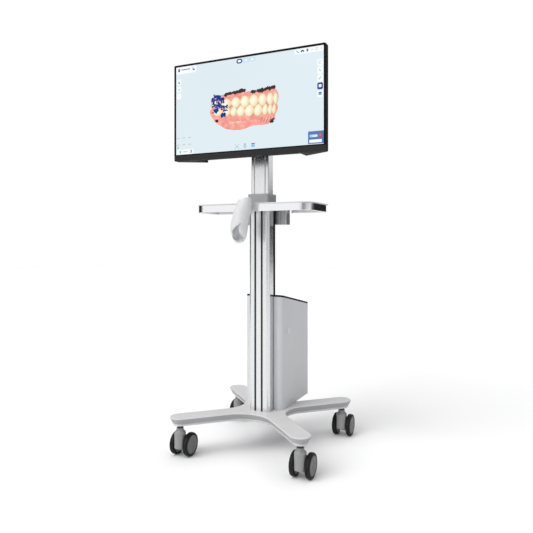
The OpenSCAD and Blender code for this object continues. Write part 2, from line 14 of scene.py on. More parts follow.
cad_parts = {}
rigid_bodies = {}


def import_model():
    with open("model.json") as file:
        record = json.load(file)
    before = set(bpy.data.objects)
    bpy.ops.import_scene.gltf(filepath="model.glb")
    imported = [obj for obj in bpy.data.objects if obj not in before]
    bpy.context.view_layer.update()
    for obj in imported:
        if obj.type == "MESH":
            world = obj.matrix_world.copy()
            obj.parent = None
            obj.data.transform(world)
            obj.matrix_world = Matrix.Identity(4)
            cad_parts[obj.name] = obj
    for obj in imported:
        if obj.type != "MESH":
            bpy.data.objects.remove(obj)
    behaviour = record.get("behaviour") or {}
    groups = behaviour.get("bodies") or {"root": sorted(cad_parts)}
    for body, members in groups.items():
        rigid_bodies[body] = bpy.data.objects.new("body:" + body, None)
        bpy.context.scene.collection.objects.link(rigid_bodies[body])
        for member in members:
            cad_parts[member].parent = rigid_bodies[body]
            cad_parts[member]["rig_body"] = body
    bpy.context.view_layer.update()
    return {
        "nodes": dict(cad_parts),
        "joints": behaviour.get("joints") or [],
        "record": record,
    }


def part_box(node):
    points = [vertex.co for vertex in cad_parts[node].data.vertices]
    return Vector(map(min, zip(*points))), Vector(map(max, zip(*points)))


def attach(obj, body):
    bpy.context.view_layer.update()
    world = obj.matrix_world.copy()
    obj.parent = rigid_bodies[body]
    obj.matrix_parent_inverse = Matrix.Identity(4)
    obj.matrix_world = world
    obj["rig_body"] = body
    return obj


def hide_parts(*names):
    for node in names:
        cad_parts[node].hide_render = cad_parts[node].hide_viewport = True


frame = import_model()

MM = 0.001
NODES = frame["nodes"]
JOINTS = {joint["name"]: joint for joint in frame["joints"]}
SLOT_OF = {part["node"]: part["material_slot"] for part in frame["record"]["subparts"]}
CORNERS = ("fl", "fr", "bl", "br")
scene = bpy.context.scene


def box(node):
    """Lowest and highest corner of a CAD node, in millimetres."""
    low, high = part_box(node)
    return low / MM, high / MM


def joint_place(name):
    """Where a joint's axis passes, in millimetres."""
    return Vector(JOINTS[name]["pos_m"]) / MM


# ---- outlines ----

def arc(centre, radius, start, end, steps):
    """Points on an arc between two angles in degrees."""
    turns = [math.radians(start + (end - start) * k / steps) for k in range(steps + 1)]
    return [Vector((centre[0] + radius * math.cos(t), centre[1] + radius * math.sin(t))) for t in turns]


def fillet(corners, closed=True, steps=5):
    """Outline through corners (x, y, radius), each rounded by an arc."""
    points = []
    last = len(corners) - 1
    for k, (x, y, radius) in enumerate(corners):
        here = Vector((x, y))
        if radius == 0 or (not closed and k in (0, last)):
            points.append(here)
            continue
        before = (Vector(corners[k - 1][:2]) - here).normalized()
        after = (Vector(corners[(k + 1) % len(corners)][:2]) - here).normalized()
        half = before.angle(after) / 2
        centre = here + (before + after).normalized() * radius / math.sin(half)
        start = here + before * radius / math.tan(half) - centre
        end = here + after * radius / math.tan(half) - centre
        turn = math.atan2(start.x * end.y - start.y * end.x, start.dot(end))
        for i in range(steps + 1):
            points.append(centre + Matrix.Rotation(turn * i / steps, 2) @ start)
    return points


def rectangle(x0, x1, y0, y1, radius):
    """Anticlockwise rectangle with rounded corners."""
    return fillet([(x0, y0, radius), (x1, y0, radius), (x1, y1, radius), (x0, y1, radius)])


# ---- solids, drawn in millimetres ----

def upright(u, v, height):
    """Outlines drawn in X and Y, raised along Z."""
    return Vector((u, v, height))


def loft(bm, rings):
    """Skin through rings that have the same number of points, closed at both ends."""
    rows = [[bm.verts.new(point) for point in ring] for ring in rings]
    faces = []
    for low, high in zip(rows, rows[1:]):
        for k in range(len(low)):
            faces.append(bm.faces.new((low[k - 1], low[k], high[k], high[k - 1])))
    return faces + [bm.faces.new(rows[0]), bm.faces.new(rows[-1])]


def lathe(bm, profile, place, closed=False):
    """Turns (radius, height) points round an axis."""
    steps = 72
    rows = []
    for radius, height in profile:
        if radius == 0:
            rows.append([bm.verts.new(place(0, 0, height))] * steps)
            continue
        turns = [2 * math.pi * k / steps for k in range(steps)]
        ring = [place(radius * math.cos(t), radius * math.sin(t), height) for t in turns]
        rows.append([bm.verts.new(point) for point in ring])
    following = rows[1:] + rows[:1] if closed else rows[1:]
    for low, high in zip(rows, following):
        for k in range(steps):
            corners = list(dict.fromkeys((low[k - 1], low[k], high[k], high[k - 1])))
            bm.faces.new(corners)


# ---- pieces ----

def make_piece(name, bm, material, nodes, sharp=32, scale=MM):
    """Turns a bmesh into a piece that stands for CAD nodes, and rides on their body."""
    bmesh.ops.recalc_face_normals(bm, faces=bm.faces)
    bmesh.ops.scale(bm, vec=(scale, scale, scale), verts=bm.verts)
    mesh = bpy.data.meshes.new(name)
    bm.to_mesh(mesh)
    bm.free()
    mesh.materials.append(material)
    mesh.shade_smooth()
    mesh.set_sharp_from_angle(angle=math.radians(sharp))
    piece = bpy.data.objects.new(name, mesh)
    scene.collection.objects.link(piece)
    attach(piece, NODES[nodes[0]]["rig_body"])
    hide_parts(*nodes)
    return piece


def finished(name, node, material, edge, segments=3, corner=0, upper_corners=True):
    """A CAD node's shape with its edges rounded, and the corners seen from the front rounded by more."""
    bm = bmesh.new()
    bm.from_mesh(NODES[node].data)
    bmesh.ops.remove_doubles(bm, verts=bm.verts, dist=0.02 * MM)
    bmesh.ops.dissolve_limit(bm, angle_limit=math.radians(1), verts=bm.verts, edges=bm.edges)
    if corner:
        low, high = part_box(node)
        middle = (low.z + high.z) / 2
        picked = []
        for e in bm.edges:
            a, b = (v.co for v in e.verts)
            along_y = abs(a.x - b.x) < MM and abs(a.z - b.z) < MM
            at_side = min(abs(a.x - low.x), abs(a.x - high.x)) < 0.1 * MM
            at_end = min(abs(a.z - low.z), abs(a.z - high.z)) < 0.1 * MM
            if along_y and at_side and at_end and (upper_corners or a.z < middle):
                picked.append(e)
        bmesh.ops.bevel(bm, geom=picked, offset=corner * MM, segments=6, profile=0.5, affect="EDGES",
                        clamp_overlap=True)
    limit = math.radians(25)
    edges = [e for e in bm.edges if len(e.link_faces) == 2 and e.calc_face_angle(0) > limit]
    bmesh.ops.bevel(bm, geom=edges, offset=edge * MM, segments=segments, profile=0.5, affect="EDGES",
                    clamp_overlap=True)
    piece = make_piece(name, bm, material, [node], scale=1)
    weighted = piece.modifiers.new("even shading", "WEIGHTED_NORMAL")
    weighted.keep_sharp = True
    return piece


# ---- materials ----

class Finish:
    """A procedural material round one Principled shader, with coordinates in metres."""

    def __init__(self, name, **values):
        self.material = bpy.data.materials.new(name)
        self.material.use_nodes = True
        self.tree = self.material.node_tree
        self.shader = self.tree.nodes["Principled BSDF"]
        for socket, value in values.items():
            self.shader.inputs[socket.replace("_", " ")].default_value = value
        self.place = self.tree.nodes.new("ShaderNodeTexCoord").outputs["Object"]

    def link(self, source, socket):
        self.tree.links.new(source, self.shader.inputs[socket])

    def noise(self, per_metre, detail=3.0, stretch=(1, 1, 1)):
        """Noise with that many features a metre, drawn out where stretch is small."""
        mapping = self.tree.nodes.new("ShaderNodeMapping")
        mapping.inputs["Scale"].default_value = [per_metre * s for s in stretch]
        self.tree.links.new(self.place, mapping.inputs["Vector"])
        texture = self.tree.nodes.new("ShaderNodeTexNoise")
        texture.inputs["Scale"].default_value = 1.0
        texture.inputs["Detail"].default_value = detail
        self.tree.links.new(mapping.outputs["Vector"], texture.inputs["Vector"])
        return texture.outputs["Fac"]

    def ramp(self, source, *stops):
        """Colour ramp with (position, colour) stops."""
        ramp = self.tree.nodes.new("ShaderNodeValToRGB")
        elements = ramp.color_ramp.elements
        while len(elements) < len(stops):
            elements.new(0.5)
        for element, (position, colour) in zip(elements, stops):
            element.position = position
            element.color = (*colour, 1)
        self.tree.links.new(source, ramp.inputs["Fac"])
        return ramp.outputs["Color"]

    def span(self, source, low, high):
        """Maps noise, which mostly lies between 0.3 and 0.7, to numbers between low and high."""
        span = self.tree.nodes.new("ShaderNodeMapRange")
        for socket, value in zip(("From Min", "From Max", "To Min", "To Max"), (0.3, 0.7, low, high)):
            span.inputs[socket].default_value = value
        self.tree.links.new(source, span.inputs["Value"])
        return span.outputs["Result"]

    def bump(self, height, depth):
        """Relief of that depth in metres."""
        bump = self.tree.nodes.new("ShaderNodeBump")
        bump.inputs["Distance"].default_value = depth
        self.tree.links.new(height, bump.inputs["Height"])
        self.link(bump.outputs["Normal"], "Normal")


def shaded(colour, factor):
    return tuple(min(1.0, c * factor) for c in colour)


def plastic(name, colour, roughness=0.45, grain=1500, depth=0.00003, mottle=0.05, **values):
    """Moulded plastic: spark-eroded grain, faint mottling and uneven gloss."""
    finish = Finish(name, **values)
    stops = ((0.35, shaded(colour, 1 - mottle)), (0.65, shaded(colour, 1 + mottle)))
    finish.link(finish.ramp(finish.noise(9, 5), *stops), "Base Color")
    finish.link(finish.span(finish.noise(60, 5), roughness - 0.06, roughness + 0.08), "Roughness")
    finish.bump(finish.noise(grain, 2), depth)
    return finish.material


def powder_coat(name, colour, roughness=0.4):
    """Powder coat on sheet metal: fine orange peel over a slightly uneven colour."""
    finish = Finish(name, Coat_Weight=0.15, Coat_Roughness=0.35)
    stops = ((0.3, shaded(colour, 0.96)), (0.7, shaded(colour, 1.03)))
    finish.link(finish.ramp(finish.noise(7, 4), *stops), "Base Color")
    finish.link(finish.span(finish.noise(240, 3), roughness - 0.05, roughness + 0.08), "Roughness")
    finish.bump(finish.noise(700, 3), 0.00005)
    return finish.material


def drawn_metal(name, colour, roughness, stretch, lines=900, depth=0.00001, contrast=0.06):
    """Metal with fine lines along its extruded, rolled or brushed direction."""
    finish = Finish(name, Metallic=1.0)
    streaks = finish.noise(lines, 4, stretch)
    stops = ((0.3, shaded(colour, 1 - contrast)), (0.7, shaded(colour, 1 + contrast)))
    finish.link(finish.ramp(streaks, *stops), "Base Color")
    finish.link(finish.span(streaks, roughness * 0.8, roughness * 1.25), "Roughness")
    finish.bump(streaks, depth)
    return finish.material


def rubber():
    """Dark tread rubber, dusty and a little worn."""
    finish = Finish("tyre_rubber", Specular_IOR_Level=0.2)
    dust = finish.noise(70, 6)
    stops = ((0.35, (0.006, 0.006, 0.0065)), (0.75, (0.015, 0.015, 0.015)))
    finish.link(finish.ramp(dust, *stops), "Base Color")
    finish.link(finish.span(dust, 0.5, 0.68), "Roughness")
    finish.bump(finish.noise(1100, 4), 0.00006)
    return finish.material


def frosted():
    """Thin frosted plastic that lets some light through."""
    finish = Finish("frosted_plastic", Transmission_Weight=0.4, IOR=1.46)
    stops = ((0.3, (0.84, 0.845, 0.85)), (0.7, (0.90, 0.90, 0.905)))
    finish.link(finish.ramp(finish.noise(45, 4), *stops), "Base Color")
    finish.link(finish.span(finish.noise(300, 3), 0.42, 0.56), "Roughness")
    finish.bump(finish.noise(900, 3), 0.00003)
    return finish.material


SCREEN_LIGHT = {"Base_Color": (0.01, 0.01, 0.01, 1), "Roughness": 0.5, "Specular_IOR_Level": 0.15,
                "Emission_Strength": 1.0}


def display_background():
    """Lit screen of a pale, slightly uneven blue."""
    finish = Finish("display_background", **SCREEN_LIGHT)
    stops = ((0.3, (0.70, 0.80, 0.85)), (0.7, (0.745, 0.845, 0.895)))
    finish.link(finish.ramp(finish.noise(2.2, 1), *stops), "Emission Color")
    finish.bump(finish.noise(2500, 2), 0.00001)
    return finish.material


def display_picture():
    """Lit screen that shows the colour stored on each point of the picture."""
    finish = Finish("display_picture", **SCREEN_LIGHT)
    tint = finish.tree.nodes.new("ShaderNodeVertexColor")
    tint.layer_name = "tint"
    finish.link(tint.outputs["Color"], "Emission Color")
    finish.bump(finish.noise(2500, 2), 0.00001)
    return finish.material


def display_gums():
    """Lit screen that shows gum tissue, pink with paler and darker patches."""
    finish = Finish("display_gums", **SCREEN_LIGHT)
    tissue = finish.noise(52, 4, (1, 1, 1.6))
    stops = ((0.3, (0.80, 0.25, 0.21)), (0.5, (0.92, 0.35, 0.29)), (0.68, (0.97, 0.48, 0.39)))
    finish.link(finish.ramp(tissue, *stops), "Emission Color")
    finish.bump(tissue, 0.00003)
    return finish.material


# Ways in which a metal's lines run: up the part, level round it, or nowhere in particular
UP = (1, 1, 0.004)
LEVEL = (0.004, 0.004, 1)
EVEN = (1, 1, 1)

# One finish for each material slot of the record
FINISHES = {
    "shell_plastic": plastic("shell_plastic", (0.60, 0.593, 0.59), 0.42, 900, 0.00002, 0.03,
                             Specular_IOR_Level=0.35),
    "dark_steel": powder_coat("dark_steel", (0.035, 0.035, 0.038), 0.45),
    "zinc": drawn_metal("zinc", (0.62, 0.62, 0.63), 0.34, EVEN, 400),
    "caster_grey": plastic("caster_grey", (0.25, 0.25, 0.253), 0.5, 1300, 0.00003),
    "disc_grey": plastic("disc_grey", (0.15, 0.15, 0.153), 0.5, 1300, 0.00003),
    "tyre": rubber(),
    "aluminium": drawn_metal("aluminium", (0.76, 0.765, 0.77), 0.24, UP, 1400, 0.000005, 0.03),
    "duct_black": plastic("duct_black", (0.006, 0.006, 0.007), 0.5, 1500, 0.00001,
                          Specular_IOR_Level=0.08),
    "collar_grey": plastic("collar_grey", (0.36, 0.36, 0.362), 0.5, 1200, 0.00003, 0.03),
    "polished_rail": drawn_metal("polished_rail", (0.90, 0.90, 0.91), 0.13, LEVEL, 1500, 0.000006, 0.03),
    "tray_sheet": powder_coat("tray_sheet", (0.60, 0.61, 0.62), 0.38),
    "bracket_dark": drawn_metal("bracket_dark", (0.44, 0.44, 0.45), 0.34, (1, 1, 0.01), 260, 0.00002, 0.42),
    "screw_black": drawn_metal("screw_black", (0.10, 0.10, 0.105), 0.4, EVEN, 500),
    "holder_frost": frosted(),
    "bezel_black": plastic("bezel_black", (0.004, 0.004, 0.0045), 0.55, 2200, 0.000004,
                           Specular_IOR_Level=0.06),
    "chin_grey": plastic("chin_grey", (0.023, 0.023, 0.024), 0.5, 2200, 0.000006,
                         Specular_IOR_Level=0.08),
    "monitor_shell": plastic("monitor_shell", (0.012, 0.012, 0.013), 0.55, 1100, 0.00004,
                             Specular_IOR_Level=0.2),
    "display": display_background(),
    "panel_plastic": plastic("panel_plastic", (0.4, 0.4, 0.41), 0.3),
    "case_grey": powder_coat("case_grey", (0.56, 0.565, 0.585), 0.4),
    "trim_black": plastic("trim_black", (0.006, 0.006, 0.007), 0.5, 1500, 0.00001,
                          Specular_IOR_Level=0.08),
    "guide_white": plastic("guide_white", (0.72, 0.72, 0.69), 0.5),
    "button_grey": plastic("button_grey", (0.66, 0.67, 0.69), 0.42),
}

# Finishes of single faces and pieces
# Painted shade: darker grey for the band on the legs' downward-sloping rim
RIM_SHADE_FINISH = plastic("rim_band_painted_shade", (0.335, 0.338, 0.35), 0.5, 900, 0.00002, 0.03)
# Painted shade: near-black caster stems, standing in for the shade in the gap under the base's skirt
STEM_SHADE_FINISH = drawn_metal("stem_painted_shade", (0.06, 0.06, 0.065), 0.45, EVEN, 400)
SATIN_FINISH = drawn_metal("satin_steel", (0.80, 0.80, 0.81), 0.42, (0.02, 0.02, 1), 900)
# Painted shade: darker, rougher aluminium for the mast's groove faces, standing in for the shade inside the
# grooves
GROOVE_SHADE_FINISH = drawn_metal("groove_aluminium_painted_shade", (0.60, 0.605, 0.615), 0.6, UP, 1400)
# Painted shade: near-black for the column's groove faces, standing in for the shade inside the grooves
GROOVE_SHADE_LINING = plastic("groove_painted_shade", (0.05, 0.05, 0.052), 0.6, 900, 0.00002, Specular_IOR_Level=0.2)


def cad_finishes():
    """Every CAD node gets the finish of its slot, in view or not, and the stems a near-black one of their
    own: painted shade in the gap under the base's skirt.
    """
    for node, thing in NODES.items():
        finish = STEM_SHADE_FINISH if node == "caster_stems" else FINISHES[SLOT_OF[node]]
        thing.data.materials.clear()
        thing.data.materials.append(finish)


# ---- base ----

# Height of the legs' upper rim, the margins on it of the darker grey band (painted shade of the rim's
# downward-sloping side), and the cover's thickness
LEG_RIM_H = 20
RIM_SHADE_FROM_RIM = 0.6
RIM_SHADE_FROM_TOP = 2.3
COVER_WALL = 3
# Radii of the arcs that join two legs: at the cart's front and rear, and at its sides
ARC_FRONT_REAR = 105
ARC_SIDES = 85
TIP_STEPS = 14
ARC_STEPS = 20


def polar(radius, degrees):
    """Point at a distance from the origin, at a bearing in degrees."""
    return (radius * math.cos(math.radians(degrees)), radius * math.sin(math.radians(degrees)))


def leg_outline(distance):
    """Plan outline of the four legs, anticlockwise, moved inwards by a distance."""
    low, high = box("base_shell")
    middle = (low + high) / 2
    stem = joint_place("br_swivel") - middle
    half = high.x - joint_place("br_swivel").x
    reach = math.hypot(stem.x, stem.y)
    tilt = math.degrees(math.atan2(stem.y, stem.x))
    angles = [-tilt, tilt, 180 - tilt, 180 + tilt]
    points = []
    for k, angle in enumerate(angles):
        points += arc(polar(reach, angle), half - distance, angle - 90, angle + 90, TIP_STEPS)
        spread = (angles[(k + 1) % 4] - angle) % 360
        radius = ARC_FRONT_REAR if k % 2 else ARC_SIDES
        away = (radius + half) / math.sin(math.radians(spread / 2))
        centre = polar(away, angle + spread / 2)
        points += arc(centre, radius + distance, angle - 90, angle + spread - 270, ARC_STEPS)
    return [p + Vector((middle.x, middle.y)) for p in points]


def base_cover():
    """Moulded four-leg cover: crowned edge, tapered rim, groove and a narrower skirt, hollow below."""
    low, high = box("base_shell")
    top = high.z
    rim = top - LEG_RIM_H
    wall = [
        (6.0, top, 0), (0.0, top, 2.4), (10.6, rim + 0.5, 0.9), (12.3, rim + 0.1, 0.3),
        (12.3, rim - 1.1, 0.3), (11.2, rim - 1.5, 0.5), (12.6, low.z, 6.0), (18.6, low.z, 0.4),
        (18.6, rim, 0.5), (13.5, rim + 3, 0.5), (13.5, top - COVER_WALL, 0),
    ]
    rings = []
    for inwards, height in fillet(wall, closed=False, steps=4):
        rings.append([upright(p.x, p.y, height) for p in leg_outline(inwards)])
    bm = bmesh.new()
    loft(bm, rings)
    cover = make_piece("base_cover", bm, FINISHES["shell_plastic"], ["base_shell"], sharp=45)
    # The rim's sloping side between the margins gets a darker grey: painted shade
    cover.data.materials.append(RIM_SHADE_FINISH)
    for face in cover.data.polygons:
        if rim + RIM_SHADE_FROM_RIM < face.center.z / MM < top - RIM_SHADE_FROM_TOP:
            face.material_index = 1


# ---- casters ----

# Radius of a wheel's disc, its gap inside the tyre, and how far it stands out; its bore, and the cap on it
DISC_R = 30
DISC_GAP = 0.05
DISC_PROUD = 0.5
AXLE_BORE = 4.1
CAP_R = 10


def wheel_placer(corner, side):
    """Places turned wheel shapes: height 0 at the wheel's inner face, growing outwards."""
    axle = joint_place(f"{corner}_{side}_roll")
    low, high = box(f"{corner}_{side}_tyre")
    way = -1 if side == "left" else 1
    inner = high.x if side == "left" else low.x
    return lambda u, v, height: Vector((inner + way * height, axle.y + u, axle.z + v))


def caster_wheel(corner, side):
    """Tyre with chamfered shoulders and fine grooves, and a dished disc with a rim ring and a cap."""
    low, high = box(f"{corner}_{side}_tyre")
    radius = (high.z - low.z) / 2
    width = high.x - low.x
    place = wheel_placer(corner, side)
    tread = [
        (DISC_R, 0, 0), (radius - 5, 0, 1), (radius - 1.2, 1.6, 1.2), (radius, 4.6, 1.0),
        (radius, 6.8, 0.2), (radius - 0.7, 7.1, 0.2), (radius - 0.7, 7.7, 0.2), (radius, 8.0, 0.2),
        (radius, width - 4.6, 1.0), (radius - 1.2, width - 1.6, 1.2), (radius - 5, width, 1),
        (DISC_R, width, 0),
    ]
    bm = bmesh.new()
    lathe(bm, fillet(tread, closed=False, steps=3), place, closed=True)
    make_piece(f"{corner}_{side}_tread", bm, FINISHES["tyre"], [f"{corner}_{side}_tyre"])

    face = width + DISC_PROUD
    disc = DISC_R - DISC_GAP
    outside = [
        (AXLE_BORE, 0, 0), (disc, 0, 0.4), (disc, width - 1.5, 0.3), (DISC_R - 1.2, face - 0.7, 0.5),
        (DISC_R - 3.2, face - 0.2, 0.5), (DISC_R - 3.8, face - 1.0, 0.3), (DISC_R - 5.0, face - 1.0, 0.3),
        (DISC_R - 5.6, face - 0.4, 0.4), (CAP_R + 2, face, 1), (CAP_R + 1.4, face - 0.8, 0.2),
        (CAP_R + 0.6, face - 0.8, 0.2), (CAP_R, face, 0.4), (0, face, 0),
    ]
    bore = [(0, width - 2), (AXLE_BORE, width - 2), (AXLE_BORE, 0)]
    bm = bmesh.new()
    lathe(bm, fillet(outside, closed=False, steps=3), place)
    lathe(bm, bore, place)
    bmesh.ops.remove_doubles(bm, verts=bm.verts, dist=0.001)
    make_piece(f"{corner}_{side}_disc", bm, FINISHES["disc_grey"], [f"{corner}_{side}_hub"])


def casters():
    """Four swivel housings with their CAD shape, and eight turned wheels."""
    for corner in CORNERS:
        finished(f"{corner}_swivel_housing", f"{corner}_housing", FINISHES["caster_grey"], edge=1.1)
        for side in ("left", "right"):
            caster_wheel(corner, side)


# ---- column, mast and tray ----

# Grooves in an extrusion's front: distance from the middle plane, half the width inside, and depth
GROOVES = {"column": (12, 5.8, 4.5), "mast": (20, 2.2, 1.6)}
# Depth of a groove's outer edge, which keeps the extrusion's own finish rather than the painted shade
GROOVE_EDGE = 0.45


def paint_groove_shade(piece, node, material):
    """Gives the faces inside an extrusion's front grooves a darker finish of their own: painted shade in
    the recesses.
    """
    middle, half, depth = GROOVES[node]
    front = box(node)[0].y
    piece.data.materials.append(material)
    for face in piece.data.polygons:
        at = face.center / MM
        if front + GROOVE_EDGE < at.y < front + depth and abs(abs(at.x) - middle) < half:
            face.material_index = 1


def structure():
    """Extrusions, covers and brackets keep their CAD shape, with every edge rounded."""
    column = finished("column_profile", "column", FINISHES["aluminium"], edge=0.5)
    # The column's groove faces are painted near-black: painted shade inside the grooves
    paint_groove_shade(column, "column", GROOVE_SHADE_LINING)
    finished("duct_cover", "cable_duct", FINISHES["duct_black"], edge=0.5)
    finished("collar_moulding", "column_collar", FINISHES["collar_grey"], edge=1.6)
    mast = finished("mast_profile", "mast", FINISHES["aluminium"], edge=0.35)
    # The mast's groove faces are painted a darker aluminium: painted shade inside the grooves
    paint_groove_shade(mast, "mast", GROOVE_SHADE_FINISH)
    finished("mast_end_cap", "mast_cap", FINISHES["duct_black"], edge=1.0)
    finished("tray_sheet", "tray_plate", FINISHES["tray_sheet"], edge=0.7)
    band = finished("tray_band", "tray_rail", FINISHES["polished_rail"], edge=1.2, segments=4)
    # The band's upright faces that look towards the tray's middle are satin
    band.data.materials.append(SATIN_FINISH)
    rail_low, rail_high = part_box("tray_rail")
    middle = (rail_low + rail_high) / 2
    for face in band.data.polygons:
        if face.normal.dot(middle - face.center) > 0.02 and abs(face.normal.z) < 0.1:
            face.material_index = 1
    finished("tray_block", "tray_bracket", FINISHES["bracket_dark"], edge=0.8)
    finished("tilt_fork", "tilt_bracket", FINISHES["dark_steel"], edge=0.8)
    finished("monitor_hinge_plate", "vesa_plate", FINISHES["dark_steel"], edge=0.8)
    finished("case_panels", "case_shell", FINISHES["case_grey"], edge=1.0)
    finished("case_top_cover", "case_trim", FINISHES["trim_black"], edge=0.9)
    finished("case_service_door", "case_door", FINISHES["case_grey"], edge=0.5)
    finished("case_push_button", "case_button", FINISHES["button_grey"], edge=0.5)
    finished("inlet_housing", "power_inlet", FINISHES["duct_black"], edge=0.4)


# ---- scanner holder ----

# Height and wall of the tube, how far it stands above the tray, and its middle's distance before the rail
HOLDER_H = 147
HOLDER_WALL = 2.4
HOLDER_ABOVE_TRAY = 17
HOLDER_GAP = 27
# How much less the tube's radius is from front to back, and the distance it keeps from the rail's front
FLATTER = 1
RAIL_CLEARANCE = 3.5
# Radii at the mouth and at the belly, and the share of the height at which the belly lies
MOUTH_R = 21
BELLY_R = 28
BELLY_AT = 0.45
# How blunt the closed end is, and its last radius as a share of the belly's
BLUNTNESS = 3.5
END_SHARE = 0.2
# Share of the height above the blunt end, below which the rows lie closer
END_AT = 0.87
# The mouth's rim droops by this away from a bearing, and the droop fades over a depth
DROOP = 5
DROOP_DEPTH = 30
DROOP_BEARING = 80
# The tube's middle sways sideways from its mouth to its closed end, over a share of the height
MOUTH_X = -3
SWAY = -19.5
SWAY_END = 0.72
# The cut in the lower front: its height above the end, and the bearing where it starts
CUT_H = 57
CUT_ABOVE_END = 4
CUT_START = 302
# Its left edge turns away at once; its right edge leans left, then turns right from a share of its height
CUT_LEFT = 80
CUT_LEFT_BEND = 0.8
CUT_LEAN = 8
CUT_LEAN_END = 0.6
CUT_RIGHT = 58
CUT_RIGHT_AT = 0.45
CUT_RIGHT_SHARE = 0.5
# The edges close from this share of its height, and meet this far left of the start
CUT_CLOSES = 0.84
CUT_MEETS = 7


def eased(t):
    """Smooth passage from 0 to 1."""
    t = min(1.0, max(0.0, t))
    return t * t * (3 - 2 * t)


def tube_middle(down):
    """Sideways place of the tube's middle, at a share of its height below the mouth."""
    return MOUTH_X + SWAY * eased(down / SWAY_END)


def tube_radius(down):
    """The tube widens to its belly and closes in a blunt end."""
    if down < BELLY_AT:
        return MOUTH_R + (BELLY_R - MOUTH_R) * math.sin(math.pi / 2 * down / BELLY_AT)
    closing = min(1.0, (down - BELLY_AT) / (1 - BELLY_AT))
    return BELLY_R * math.sqrt(1 + END_SHARE ** 2 - closing ** BLUNTNESS)


def cut_edges(down):
    """Bearings of the two edges of the cut, at a share of its height below its start."""
    if not 0 < down < 1:
        return CUT_START, CUT_START
    left = CUT_START - CUT_LEFT * math.sin(math.pi / 2 * min(1.0, down / CUT_CLOSES) ** CUT_LEFT_BEND)
    right = CUT_START - CUT_LEAN * math.sin(math.pi * min(1.0, down / CUT_LEAN_END))
    right += CUT_RIGHT * eased((down - CUT_RIGHT_AT) / CUT_RIGHT_SHARE)
    closing = max(0.0, (down - CUT_CLOSES) / (1 - CUT_CLOSES))
    closed = 1 - math.sqrt(1 - closing ** 2)
    middle = CUT_START - CUT_MEETS
    return left + (middle - left) * closed, right + (middle - right) * closed


def sleeve_tube(bm, top, rail_front):
    """The tube's wall, its cut and its closed end, hung from the height of its mouth."""
    end = top - END_AT * HOLDER_H
    bottom = top - HOLDER_H
    cut_top = bottom + CUT_ABOVE_END + CUT_H
    upper_rows = 34
    lower_rows = 20
    columns = 52
    heights = [top + (end - top) * i / upper_rows for i in range(upper_rows)]
    heights += [end + (bottom - end) * i / lower_rows for i in range(lower_rows + 1)]
    grid = []
    for height in heights:
        down = (top - height) / HOLDER_H
        middle = tube_middle(down)
        radius = tube_radius(down)
        cut_from, cut_to = cut_edges((cut_top - height) / CUT_H)
        fall = max(0.0, 1 - (top - height) / DROOP_DEPTH)
        row = []
        for k in range(columns + 1):
            angle = math.radians(cut_to + (cut_from + 360 - cut_to) * k / columns)
            droop = fall * DROOP * (1 - math.sin(angle + math.radians(DROOP_BEARING)))
            x = middle + radius * math.cos(angle)
            y = rail_front - HOLDER_GAP + (radius - FLATTER) * math.sin(angle)
            row.append(bm.verts.new((x, min(y, rail_front - RAIL_CLEARANCE), height - droop)))
        grid.append(row)
    for upper, lower in zip(grid, grid[1:]):
        for k in range(columns):
            bm.faces.new((upper[k], upper[k + 1], lower[k + 1], lower[k]))
    bm.faces.new(grid[-1][:-1])
    bmesh.ops.remove_doubles(bm, verts=bm.verts, dist=0.05)
    bmesh.ops.recalc_face_normals(bm, faces=bm.faces)
    bmesh.ops.solidify(bm, geom=bm.faces[:], thickness=HOLDER_WALL)


def sleeve_hook(bm, middle, tray_top, rail_low):
    """The hook behind the tube, which goes over the rail band."""
    half = 10
    outer = rail_low.y - 7
    outer_inside = rail_low.y - 2
    foot = rail_low.z - 3
    roof = tray_top - 3
    inner_inside = rail_low.y + 5.2
    inner = inner_inside + 3
    tip = tray_top - 11
    outline = fillet([
        (outer, foot, 1), (outer, tray_top, 3), (inner, tray_top, 2.5), (inner, tip, 1),
        (inner_inside, tip, 1), (inner_inside, roof, 1), (outer_inside, roof, 1), (outer_inside, foot, 1),
    ], steps=4)
    loft(bm, [[Vector((middle + side, p.x, p.y)) for p in outline] for side in (-half, half)])


def holder_sleeve():
    """Frosted sleeve hooked over the rail band: a tube whose lower front is cut away in an S curve."""
    rail_low, _ = box("tray_rail")
    _, plate_high = box("tray_plate")
    holder_low, holder_high = box("scanner_holder")
    bm = bmesh.new()
    sleeve_tube(bm, plate_high.z + HOLDER_ABOVE_TRAY, rail_low.y)
    sleeve_hook(bm, (holder_low.x + holder_high.x) / 2, plate_high.z, rail_low)
    piece = make_piece("holder_sleeve", bm, FINISHES["holder_frost"], ["scanner_holder"], sharp=50)
    smoothing = piece.modifiers.new("rounded rims", "SUBSURF")
    smoothing.levels = 1
    smoothing.render_levels = 1


# ---- monitor ----

# How far the picture's flat shapes stand out from the glass, unless they say otherwise
PROUD = 0.25
# A crown's rows from its rim inwards, as shares of its size and of its rise, and how far the rim stands out
CROWN_ROWS = ((1.0, 0.0), (0.97, 0.3), (0.86, 0.55), (0.68, 0.75), (0.42, 0.92), (0.18, 1.0))
CROWN_RIM = 0.2
# Its tones between one row and the next, and in its middle
CROWN_TONES = (
    (0.52, 0.24, 0.15), (0.78, 0.50, 0.31), (0.93, 0.75, 0.49), (0.98, 0.86, 0.61), (1.0, 0.92, 0.70),
)
CROWN_MIDDLE = (1.0, 0.96, 0.80)


